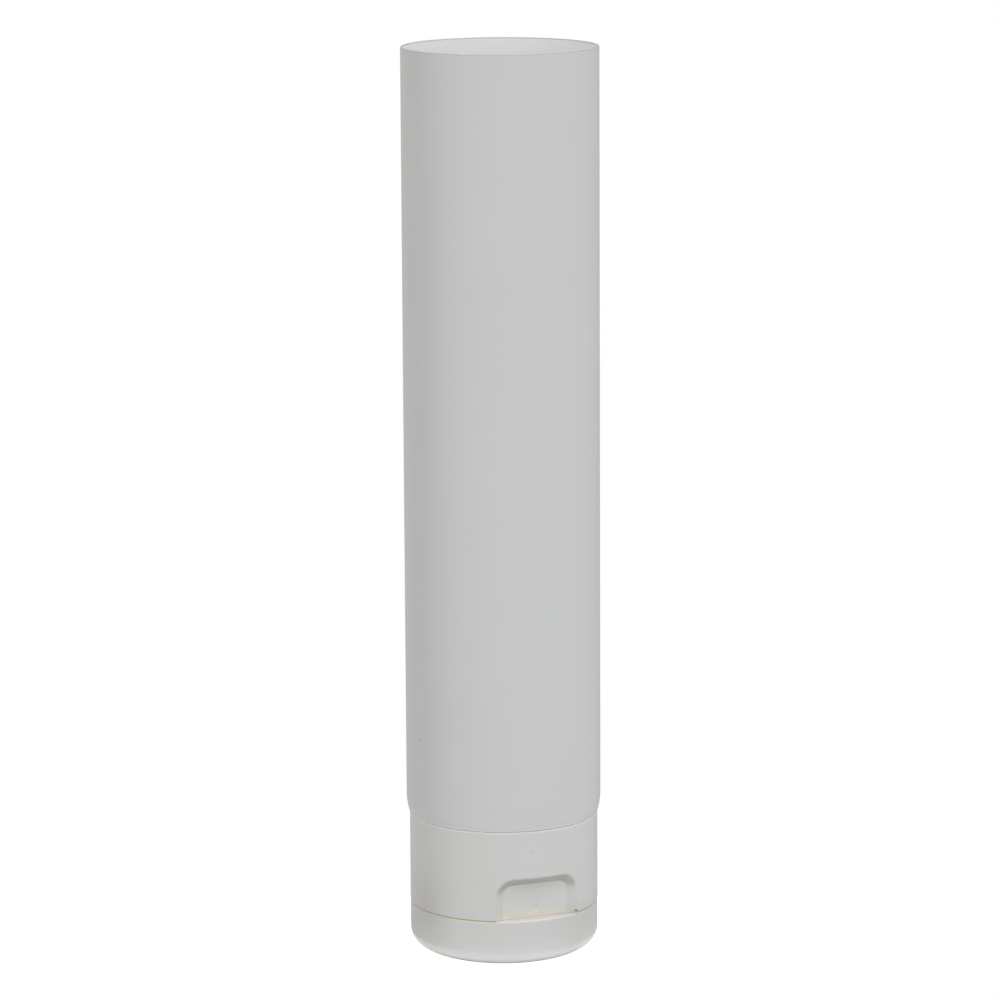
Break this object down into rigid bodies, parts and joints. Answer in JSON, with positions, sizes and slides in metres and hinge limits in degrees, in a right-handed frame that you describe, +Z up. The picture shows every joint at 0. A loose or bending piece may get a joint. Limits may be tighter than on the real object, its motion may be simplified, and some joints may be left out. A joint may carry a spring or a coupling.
{
  "type": "lotion tube",
  "caption": "Slim round white squeeze tube, filling end open, standing on a flip-top cap with a living hinge, a plugged dispensing hole and a thumb recess.",
  "frame": {"origin": "middle of the lid's flat base, which the tube stands on", "axes": "+Z up along the tube's axis, towards its open filling end; -Y towards the thumb recess; +Y towards the lid's hinge"},
  "size_m": [0.04, 0.04, 0.1864],
  "materials": {
    "sleeve_plastic": "smooth glossy extruded white plastic",
    "head_plastic": "smooth moulded white plastic",
    "cap_plastic": "glossy moulded warm white plastic"
  },
  "bodies": {
    "tube": {"tube_sleeve": "sleeve_plastic", "tube_head": "head_plastic", "cap_body": "cap_plastic"},
    "lid": {"cap_lid": "cap_plastic"}
  },
  "joints": [
    {"name": "lid_hinge", "type": "hinge", "parent": "tube", "child": "lid", "pos_m": [0, 0.0199, 0.01], "axis": [1, 0, 0], "range_deg": [0, 180]}
  ]
}
